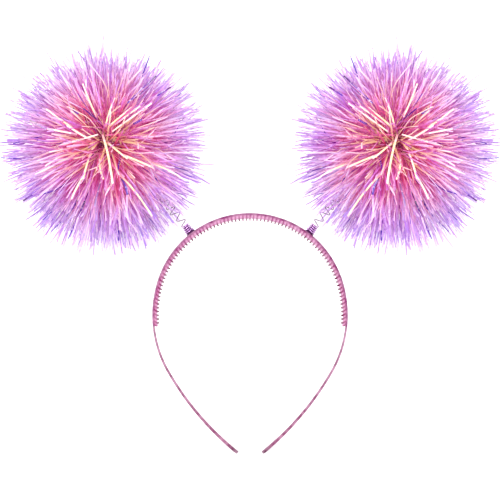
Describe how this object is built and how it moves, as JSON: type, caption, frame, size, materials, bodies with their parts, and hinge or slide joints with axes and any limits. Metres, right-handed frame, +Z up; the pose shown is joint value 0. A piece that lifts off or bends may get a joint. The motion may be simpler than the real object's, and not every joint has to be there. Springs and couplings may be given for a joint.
{
  "type": "pompom headband",
  "caption": "Plastic comb headband with round tinsel pompoms standing off its crown on coiled wire springs, lying at rest on the pompoms and the ends of the band",
  "frame": {"origin": "centre of the bounding box, on the surface that the object lies on", "axes": "X across the hoop towards the right pompom as seen from the front, Y from the band's ends towards the crown and the pompoms, Z up; the hoop's plane is tilted about X by the lay angle of 18.6 degrees"},
  "size_m": [0.308, 0.2414, 0.1232],
  "materials": {
    "band_plastic": "glossy translucent pink moulded plastic, darker at the tooth tips",
    "spring_wire": "bright lilac-tinted steel wire",
    "tinsel_film": "iridescent film strips, pink and cream near the heart, lilac and sheer at the tips"
  },
  "bodies": {
    "root": {"headband": "band_plastic", "left_spring": "spring_wire", "right_spring": "spring_wire", "left_pompom": "tinsel_film", "right_pompom": "tinsel_film"}
  },
  "joints": []
}
